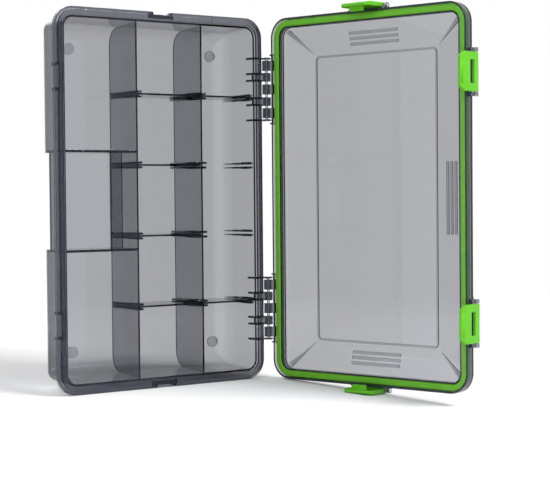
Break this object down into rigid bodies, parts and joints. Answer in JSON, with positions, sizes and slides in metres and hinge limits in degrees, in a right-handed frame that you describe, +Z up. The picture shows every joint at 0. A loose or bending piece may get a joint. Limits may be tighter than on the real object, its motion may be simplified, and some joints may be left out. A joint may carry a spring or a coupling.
{
  "type": "tackle box",
  "caption": "Waterproof tackle box standing open on its short end: compartment tray with removable dividers, sealed hinged lid and snap latches.",
  "frame": {"origin": "on the standing surface, below the middle of the open box's bounding box", "axes": "+Z up along the box's length as it stands on its short end, +Y out of the back of the tray where its feet are, -Y out of the tray's open side"},
  "size_m": [0.229, 0.23, 0.2846],
  "materials": {
    "smoke_plastic": "glossy smoke-tinted see-through moulded plastic",
    "seal_rubber": "soft satin green rubber",
    "latch_plastic": "glossy opaque lime green plastic",
    "steel_pin": "plain drawn steel wire"
  },
  "bodies": {
    "tray": {"base_tray": "smoke_plastic", "hinge_pin_upper": "steel_pin", "hinge_pin_lower": "steel_pin"},
    "lid": {"lid_shell": "smoke_plastic", "lid_gasket": "seal_rubber", "latch_pin_top": "steel_pin", "latch_pin_bottom": "steel_pin", "latch_pin_side_upper": "steel_pin", "latch_pin_side_lower": "steel_pin"},
    "latch_top": {"latch_top": "latch_plastic"},
    "latch_bottom": {"latch_bottom": "latch_plastic"},
    "latch_side_upper": {"latch_side_upper": "latch_plastic"},
    "latch_side_lower": {"latch_side_lower": "latch_plastic"},
    "divider_middle_1": {"divider_middle_1": "smoke_plastic"},
    "divider_middle_2": {"divider_middle_2": "smoke_plastic"},
    "divider_middle_3": {"divider_middle_3": "smoke_plastic"},
    "divider_middle_4": {"divider_middle_4": "smoke_plastic"},
    "divider_hinge_1": {"divider_hinge_1": "smoke_plastic"},
    "divider_hinge_4": {"divider_hinge_4": "smoke_plastic"}
  },
  "joints": [
    {"name": "lid_hinge", "type": "hinge", "parent": "tray", "child": "lid", "pos_m": [0.07208, 0.07487, 0.1423], "axis": [0, 0, 1], "range_deg": [-100, 80]},
    {"name": "latch_top_hinge", "type": "hinge", "parent": "lid", "child": "latch_top", "pos_m": [0.09607, -0.01797, 0.2824], "axis": [-0.1736, 0.9848, 0], "range_deg": [-4.5, 100]},
    {"name": "latch_bottom_hinge", "type": "hinge", "parent": "lid", "child": "latch_bottom", "pos_m": [0.09607, -0.01797, 0.0022], "axis": [0.1736, -0.9848, 0], "range_deg": [-4.5, 100]},
    {"name": "latch_side_upper_hinge", "type": "hinge", "parent": "lid", "child": "latch_side_upper", "pos_m": [0.11232, -0.11015, 0.2298], "axis": [0, 0, 1], "range_deg": [-4.5, 100]},
    {"name": "latch_side_lower_hinge", "type": "hinge", "parent": "lid", "child": "latch_side_lower", "pos_m": [0.11232, -0.11015, 0.0548], "axis": [0, 0, 1], "range_deg": [-4.5, 100]},
    {"name": "divider_middle_1_slide", "type": "slide", "parent": "tray", "child": "divider_middle_1", "axis": [0, -1, 0], "range_m": [0, 0.045]},
    {"name": "divider_middle_2_slide", "type": "slide", "parent": "tray", "child": "divider_middle_2", "axis": [0, -1, 0], "range_m": [0, 0.045]},
    {"name": "divider_middle_3_slide", "type": "slide", "parent": "tray", "child": "divider_middle_3", "axis": [0, -1, 0], "range_m": [0, 0.045]},
    {"name": "divider_middle_4_slide", "type": "slide", "parent": "tray", "child": "divider_middle_4", "axis": [0, -1, 0], "range_m": [0, 0.045]},
    {"name": "divider_hinge_1_slide", "type": "slide", "parent": "tray", "child": "divider_hinge_1", "axis": [0, -1, 0], "range_m": [0, 0.045]},
    {"name": "divider_hinge_4_slide", "type": "slide", "parent": "tray", "child": "divider_hinge_4", "axis": [0, -1, 0], "range_m": [0, 0.045]}
  ]
}
